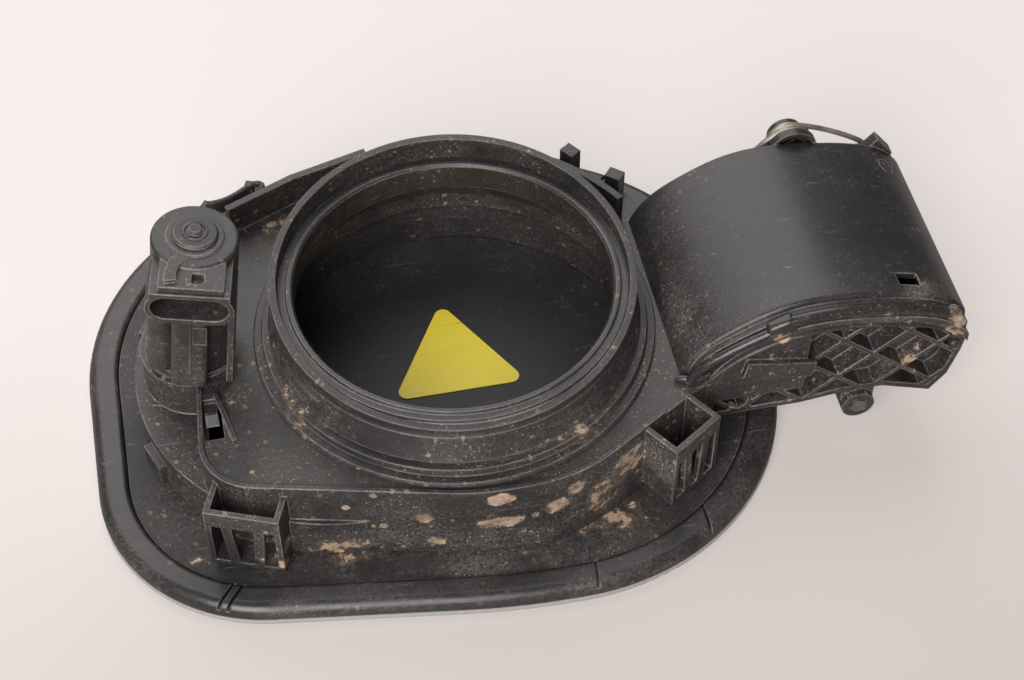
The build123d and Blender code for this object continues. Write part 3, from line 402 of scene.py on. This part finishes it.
cover_black = soiled(
    "cover plastic", (0.021, 0.0192, 0.0193), 0.30, grain=(900.0, 0.10), film=0.40, specks=0.30, edge_wear_and_glint=0.75,
    crusts=(
        ((71, -29, 8), (7, 4, 6), 0.88),
        ((111, -23, 12), (8, 6, 7), 0.80),
        ((117, -30, 6), (7, 5, 8), 0.80),
        ((94, -29, 13), (22, 4, 5), 0.52),
    ),
    drops=(((88, -26, 12), (36, 10, 10), 0.50),),
    veils=(
        ((90, -29, 12), (34, 5, 8), 0.60),
        ((54, -14, 6), (5, 20, 7), 0.45),
        ((108, -25, 16), (8, 3.5, 4), 1.60),
    ),
    wiped=(((86, 2, 18), (44, 34, 22), 0.80),),
)
dress("pocket_cover", cover_black)

# Flange trim
#
# The cover's stepped flange ends in rolled beads, a snap, a row of knobs and a hook at its foot,
# all of the cover's own plastic. They are smoother and glossier than its top, with mud packed in.

flange_black = soiled(
    "flange plastic", (0.022, 0.0205, 0.0205), 0.20, grain=(900.0, 0.08), film=0.22, specks=0.25, edge_wear_and_glint=0.9,
    crusts=(
        ((73, -30, 14), (5, 4, 4), 1.00),
        ((118, -30, 8), (6, 5, 9), 1.15),
        ((96, -31, 15), (14, 3, 4), 0.80),
    ),
)


def lump(name, middle, size, turn, finish, soft=0.35, uneven=0.2):
    """Moulded block, sizes in mm, leaning by turn degrees about Y, uneven by that many mm at most.

    Its edges are rounded by the share soft of its least size.
    """
    bpy.ops.mesh.primitive_cube_add(size=1.0, location=[c / 1000 for c in middle])
    made = bpy.context.active_object
    made.name = name
    made.scale = [c / 1000 for c in size]
    made.rotation_euler = (0, radians(turn), 0)
    bpy.ops.object.transform_apply(location=True, rotation=True, scale=True)
    bpy.ops.object.mode_set(mode="EDIT")
    bpy.ops.mesh.select_all(action="SELECT")
    bpy.ops.mesh.subdivide(number_cuts=1)
    bpy.ops.transform.vertex_random(offset=uneven / 1000, seed=int(abs(middle[0]) * 7))
    bpy.ops.object.mode_set(mode="OBJECT")
    rounded = made.modifiers.new("rounded", "BEVEL")
    rounded.width = min(size) * soft / 1000
    rounded.segments = 3
    bpy.ops.object.modifier_apply(modifier="rounded")
    bpy.ops.object.shade_smooth_by_angle(angle=radians(60))
    made.data.materials.append(finish)
    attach(made, "housing")
    return made


low_bead = ((51.6, -29.4, 1.0), (54.2, -29.6, 5.6), (58.5, -29.8, 8.8), (64.0, -29.8, 12.0),
            (70.5, -29.8, 15.0))
high_bead = ((75.0, -29.6, 17.6), (79.0, -29.8, 18.3), (84.0, -29.8, 18.7), (92.0, -29.8, 18.1),
             (103.0, -29.8, 16.2), (112.5, -29.6, 12.9), (117.0, -29.2, 10.2))
inner_bead = ((53.4, -30.4, -1.6), (57.0, -30.6, 2.8), (64.0, -30.6, 8.4), (72.5, -30.6, 12.2),
              (83.0, -30.6, 14.0), (92.0, -30.6, 13.4), (103.0, -30.6, 11.4), (112.0, -30.4, 8.4),
              (118.0, -30.0, 4.4))
strand("flange_bead_left", low_bead, 1.25, flange_black)
strand("flange_bead_right", high_bead, 1.5, flange_black)
strand("flange_bead_inner", inner_bead, 0.6, flange_black)
lump("flange_snap", (73.2, -29.4, 16.0), (7.0, 3.6, 5.2), -24, flange_black, uneven=0.3)
knobs = ((116.4, 11.4, 3.6), (118.4, 7.8, 3.4), (119.0, 3.6, 3.2), (118.6, -0.4, 3.0))
knob_y = -29.4
knob_wide = 3.0
first_turn = 30
more_turn = 14
for number, (x, z, long) in enumerate(knobs):
    lump(f"flange_knob_{number + 1}", (x, knob_y, z), (long, knob_wide, knob_wide),
         first_turn + more_turn * number, flange_black, uneven=0.35)
hook_line = ((48.6, -27.6, 0.8), (50.4, -28.8, 1.4), (53.2, -29.4, 1.6), (56.0, -29.4, 1.8),
             (57.6, -28.8, 2.6))
strand("foot_hook", hook_line, 0.9, flange_black)


def round_bead(name, place, wide, thick, finish):
    """Low round bead of radius wide and half width thick (mm), laid on the plane of the place matrix."""
    bpy.ops.mesh.primitive_torus_add(major_radius=wide / 1000, minor_radius=thick / 1000,
                                     major_segments=40, minor_segments=8)
    made = bpy.context.active_object
    made.name = name
    bpy.ops.object.mode_set(mode="EDIT")
    bpy.ops.mesh.select_all(action="SELECT")
    bpy.ops.transform.resize(value=(1.0, 1.0, 0.85))
    bpy.ops.object.mode_set(mode="OBJECT")
    made.matrix_world = place
    bpy.ops.object.transform_apply(location=True, rotation=True, scale=True)
    bpy.ops.object.shade_smooth()
    made.data.materials.append(finish)
    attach(made, "housing")


cover_top = Matrix.Translation((0.1153, 0.019, 0.01315)) @ Matrix.Rotation(radians(36), 4, "Y")
round_bead("cover_ring", cover_top, 2.3, 0.24, cover_black)

# Inlet collar and seals
#
# The collar is a stepped boot of soft black elastomer pushed into the plate's round hole;
# the inlet seal is the thin ring in its mouth, and the flap seal hangs under the plate.

collar_black = soiled(
    "collar rubber", (0.020, 0.0185, 0.0185), 0.38, grain=(2200.0, 0.15), film=0.45, specks=0.5, edge_wear_and_glint=0.6,
    crusts=(((-43, -22, 3), (10, 14, 6), 0.72), ((26, -42, 4), (22, 10, 6), 0.66)),
    drops=(((-30, -38, 4), (24, 20, 8), 0.75),),
    veils=(((-42, -18, 4), (18, 30, 10), 1.00), ((28, -40, 4), (30, 14, 10), 0.45)),
    around=True,
)
seal_black = soiled(
    "seal rubber", (0.018, 0.0165, 0.0168), 0.36, grain=(2600.0, 0.12), film=0.30, specks=0.25, edge_wear_and_glint=0.6,
    around=True,
)
dress("inlet_collar", collar_black)
dress("inlet_seal", seal_black)
dress("flap_seal", seal_black)

# Flap panels
#
# The painted skin shows on the car; the inner panel is moulded on its back, with a raised
# disc of spark-eroded texture that faces the inlet. The hinge arm is of the same plastic.

paint = bpy.data.materials.new("skin paint")
paint.use_nodes = True
tree = paint.node_tree
shader = tree.nodes["Principled BSDF"]
flake = put(tree, "TexVoronoi", Vector=tree.nodes.new("ShaderNodeTexCoord").outputs["Object"], Scale=5200.0)
sparkle = put(tree, "SeparateColor", Color=flake.outputs["Color"])
silver = tint(tree, ramp(tree, sparkle.outputs[0], 0.0, 1.0), (0.42, 0.42, 0.41, 1), (0.60, 0.60, 0.59, 1))
tree.links.new(silver, shader.inputs["Base Color"])
tree.links.new(ramp(tree, sparkle.outputs[1], 0.0, 1.0, 0.3, 0.42), shader.inputs["Roughness"])
shader.inputs["Metallic"].default_value = 0.35
shader.inputs["Coat Weight"].default_value = 1.0
shader.inputs["Coat Roughness"].default_value = 0.04
dress("outer_skin", paint)

panel_black = soiled(
    "panel plastic", (0.020, 0.0185, 0.0187), 0.53, grain=(2800.0, 0.35), film=0.50, specks=0.30, edge_wear_and_glint=0.5,
    crusts=(
        ((-34, -46, -22), (15, 6, 4), 0.98),
        ((30, -48, -22), (20, 8, 4), 1.10),
        ((12, -56, -22), (14, 4, 3), 0.95),
        ((-72, -40, -22), (10, 8, 4), 0.70),
    ),
    drops=(((-66, -44, -22), (20, 14, 4), 0.70),),
    veils=(((0, -58, -22), (75, 10, 5), 1.10),),
    wiped=(((0, 0, -10), (80, 80, 16), 1.50),),
)
dress("inner_panel", panel_black)
dress("hinge_arm", panel_black)

# Rim lip
#
# The rim lip is a smooth extruded rubber edge round the flap. It is wiped glossy on its
# crest and scuffed in places.

lip_black = soiled(
    "lip rubber", (0.020, 0.0185, 0.0187), 0.28, grain=(700.0, 0.06), film=0.58, specks=0.20, edge_wear_and_glint=0.45,
    veils=(((-52, -62, -24), (9, 9, 6), 0.60), ((56, -60, -24), (16, 10, 6), 0.50)),
)
dress("rim_lip", lip_black)

# Label
#
# The label is a bare yellow film with rounded corners, stuck to the disc. It is dusty and
# finely scratched.

film = bpy.data.materials.new("label film")
film.use_nodes = True
tree = film.node_tree
shader = tree.nodes["Principled BSDF"]
dust = tree.nodes.new("ShaderNodeGroup")
dust.node_tree = dusty
tree.links.new(tree.nodes.new("ShaderNodeTexCoord").outputs["Object"], dust.inputs["Place"])
dust.inputs["Film"].default_value = 0.4
dust.inputs["Specks"].default_value = 0.3
share = reckon(tree, "MULTIPLY", dust.outputs["Dust"], 0.35)
colour = tint(tree, share, (0.88, 0.70, 0.025, 1), (0.5, 0.38, 0.12, 1))
colour = tint(tree, reckon(tree, "MULTIPLY", dust.outputs["Scratch"], 0.5), colour, (0.35, 0.26, 0.06, 1))
tree.links.new(colour, shader.inputs["Base Color"])
tree.links.new(reckon(tree, "MULTIPLY_ADD", dust.outputs["Dust"], 0.3, 0.38), shader.inputs["Roughness"])
dress("triangle_label", film)

# Lock
#
# The lock is a push latch in a moulded barrel, with its connector socket in one piece, a
# welded lid and a soft vent cap.

lock_black = soiled(
    "lock plastic", (0.022, 0.0203, 0.020), 0.34, grain=(1200.0, 0.12), film=0.55, specks=0.35, edge_wear_and_glint=0.75,
    crusts=(((-60, 10, 38), (10, 8, 3), 0.42),),
    veils=(((-62, -8, 12), (9, 8, 16), 0.45), ((-60, 8, 38), (12, 12, 3), 0.35)),
)
cap_black = soiled(
    "vent cap rubber", (0.024, 0.022, 0.022), 0.42, grain=(1800.0, 0.12), film=0.4, specks=0.3, edge_wear_and_glint=0.7
)
dress("lock_body", lock_black)
dress("lock_lid", lock_black)
dress("vent_cap", cap_black)

# Lock details
#
# The socket's strut has a raised frame and edge, moulded with the lock's barrel, and the soft
# vent cap has two turned rings. All stand in the lock's own leaning axes.

lean = Matrix.Translation((-0.0636, 0.0071, 0)) @ Matrix.Rotation(radians(7.5), 4, "Y")
lean = lean @ Matrix.Rotation(radians(-10.1), 4, "Z")


def on_lock(x, y, h):
    """Place (mm) across and along the lock's leaning axis."""
    return [c * 1000 for c in lean @ Vector((x / 1000, y / 1000, h / 1000))]


strut_y = -14.65
edge_x = 0.2
left, middle, right = 0.9, 2.4, 3.9
low, above_low, top = 17.0, 19.0, 22.6
for name, corners in (
    ("strut_edge", ((edge_x, 6.0), (edge_x, 11.0), (edge_x, 20.0), (edge_x, 27.0))),
    ("strut_frame_left", ((left, low), (left, above_low), (left, top))),
    ("strut_frame_right", ((right, low), (right, above_low), (right, top))),
    ("strut_frame_low", ((left, low), (middle, low), (right, low))),
    ("strut_frame_top", ((left, top), (middle, top), (right, top))),
):
    strand(name, [on_lock(x, strut_y, h) for x, h in corners], 0.22, lock_black)
for name, height, wide, thick in (("cap_ring", 39.7, 2.7, 0.35), ("cap_knob_ring", 40.3, 1.35, 0.25)):
    round_bead(name, lean @ Matrix.Translation((0, 0, height / 1000)), wide, thick, cap_black)


# Inner pieces
#
# The slider, plunger, bushes and catch are moulded acetal. The screws, pin, ring, motor and
# contacts are plated metal, clean inside the closed lock and pocket.


def plain(name, shade, gloss, metal=0.0, vary=0.15):
    """Clean inner piece: a slightly uneven colour and gloss."""
    finish = bpy.data.materials.new(name)
    finish.use_nodes = True
    tree = finish.node_tree
    shader = tree.nodes["Principled BSDF"]
    place = tree.nodes.new("ShaderNodeTexCoord").outputs["Object"]
    cloud = put(tree, "TexNoise", Vector=place, Scale=260.0, Detail=4.0)
    shift = ramp(tree, cloud.outputs[0], 0.3, 0.7)
    dark = (*[c * (1 - vary) for c in shade], 1)
    light = (*[min(1.0, c * (1 + vary)) for c in shade], 1)
    tree.links.new(tint(tree, shift, dark, light), shader.inputs["Base Color"])
    dull = ramp(tree, cloud.outputs[0], 0.3, 0.7, gloss - 0.06, gloss + 0.08)
    tree.links.new(dull, shader.inputs["Roughness"])
    shader.inputs["Metallic"].default_value = metal
    return finish


inner_white = plain("white acetal", (0.58, 0.58, 0.55), 0.4)
dress("slider_cup", inner_white)
dress("plunger", inner_white)
inner_grey = plain("grey acetal", (0.25, 0.25, 0.25), 0.45)
for piece in ("guide_bush", "arm_bushes", "latch_catch"):
    dress(piece, inner_grey)
zinc = plain("zinc plated steel", (0.38, 0.37, 0.34), 0.38, metal=1.0, vary=0.25)
for piece in ("arm_screws", "hinge_pin", "pin_ring", "lock_motor", "plunger_spring"):
    dress(piece, zinc)
dress("connector_pins", plain("tinned brass", (0.62, 0.58, 0.5), 0.3, metal=1.0))

# Toggle spring
#
# The toggle spring is one round steel wire, wound on the cover's boss, with two long legs.
# The wire is bright drawn, with a dusty, brownish film.

wire = plain("spring wire", (0.34, 0.30, 0.25), 0.5, metal=0.7, vary=0.35)
dress("toggle_spring", wire)
boss_x, boss_z = 92.3, 16.2
wire_y = 28.3
wind_r = 5.6
wind_rise = 2.2
wind_steps = 24
wind_angle = 30
turns = []
for step in range(wind_steps + 1):
    angle = radians(90 - wind_angle * step)
    turns.append((boss_x + wind_r * cos(angle), wire_y + wind_rise * step / wind_steps,
                  boss_z + wind_r * sin(angle)))
route = [(81.4, 28.3, 13.6), (83.6, 28.3, 16.8), (87.4, 28.3, 20.6)] + turns
route += [(102.5, 30.5, 18.0), (112.6, 30.2, 12.2), (113.2, 30.1, 10.6), (109.0, 30.0, 10.3),
          (104.4, 30.0, 10.6)]
spring = strand("toggle_wire", route, 0.7, wire)
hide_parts("toggle_spring")

# Plunger spring
#
# The plunger spring is a coil of round steel wire that stands between the cup's floor and the
# top of the bore. It is pressed together as the plunger slides in.

coil_low = 9.05
coil_high = 27.25
coil_r = 4.1
coil_steps = 60
turns = []
for step in range(coil_steps + 1):
    angle = radians(wind_angle * step)
    height = coil_low + (coil_high - coil_low) * step / coil_steps
    turns.append(on_lock(coil_r * cos(angle), coil_r * sin(angle), height))
coil = strand("plunger_coil", turns, 0.45, zinc)
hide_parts("plunger_spring")
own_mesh(coil)

# Table and light
#
# The part lies on its painted face on a pale board, with painted shade that darkens it a little towards the
# camera.
# A broad soft lamp stands behind it and a smaller one in front at the left, in a pale room.

bpy.ops.mesh.primitive_plane_add(size=6.0, location=(0, 0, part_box("outer_skin")[0][2]))
floor = bpy.context.active_object
floor.name = "table_top"
board = bpy.data.materials.new("pale board")
board.use_nodes = True
tree = board.node_tree
shader = tree.nodes["Principled BSDF"]
place = tree.nodes.new("ShaderNodeTexCoord").outputs["Object"]
cloud = put(tree, "TexNoise", Vector=place, Scale=9.0, Detail=5.0)
across = put(tree, "SeparateXYZ", Vector=place)
# Painted shade: the board's colour darkens towards the camera (towards -Y) in place of the lamps' fall-off,
# and the camera also sees this shade in the board's glow.
shade_nearness = reckon(tree, "MULTIPLY", across.outputs[1], -1.0)
shade_nearness = reckon(tree, "MULTIPLY_ADD", cloud.outputs[0], 0.03, shade_nearness)
board_far = (0.80, 0.74, 0.72, 1)
board_near_painted_shade = (0.50, 0.43, 0.39, 1)
glow = 0.5  # the share of the board's tone that the camera sees whatever light falls on it
board_tone_with_painted_shade = tint(tree, ramp(tree, shade_nearness, -0.04, 0.20), board_far, board_near_painted_shade)
tree.links.new(tint(tree, 1.0 - glow, (0, 0, 0, 1), board_tone_with_painted_shade), shader.inputs["Base Color"])
shader.inputs["Roughness"].default_value = 0.55
tree.links.new(board_tone_with_painted_shade, shader.inputs["Emission Color"])
seen = tree.nodes.new("ShaderNodeLightPath").outputs["Is Camera Ray"]
tree.links.new(reckon(tree, "MULTIPLY", seen, glow), shader.inputs["Emission Strength"])
floor.data.materials.append(board)

world = bpy.data.worlds.new("pale room")
bpy.context.scene.world = world
world.use_nodes = True
tree = world.node_tree
room = tree.nodes["Background"]
room.inputs["Color"].default_value = (1.0, 0.985, 0.98, 1)
seen = tree.nodes.new("ShaderNodeLightPath").outputs["Is Camera Ray"]
room_light = 0.12
room_seen = 0.90
tree.links.new(ramp(tree, seen, 0.0, 1.0, room_light, room_seen), room.inputs["Strength"])


def lamp(name, place, aim, size, power, shade):
    """A square soft lamp of that size (m) and power (W) at place, shining at aim."""
    data = bpy.data.lights.new(name, "AREA")
    data.size = size
    data.energy = power
    data.color = shade
    made = bpy.data.objects.new(name, data)
    bpy.context.collection.objects.link(made)
    made.location = place
    made.rotation_euler = (Vector(aim) - Vector(place)).to_track_quat("-Z", "Y").to_euler()


lamp("back lamp", (-0.08, 0.88, 0.95), (0, 0, 0), 1.4, 14.5, (1.0, 0.985, 0.98))
lamp("front lamp", (-0.45, -0.90, 0.72), (0, 0, 0), 0.8, 20.0, (1.0, 0.98, 0.97))

eye = bpy.data.cameras.new("camera")
eye.lens = 70.3
eye.sensor_width = 36.0
camera = bpy.data.objects.new("camera", eye)
bpy.context.collection.objects.link(camera)
camera.location = (-0.0507, -0.3142, 0.3753)
camera.rotation_euler = (radians(39.86), 0, radians(-11.7))
bpy.context.scene.camera = camera
bpy.context.scene.view_settings.view_transform = "Standard"
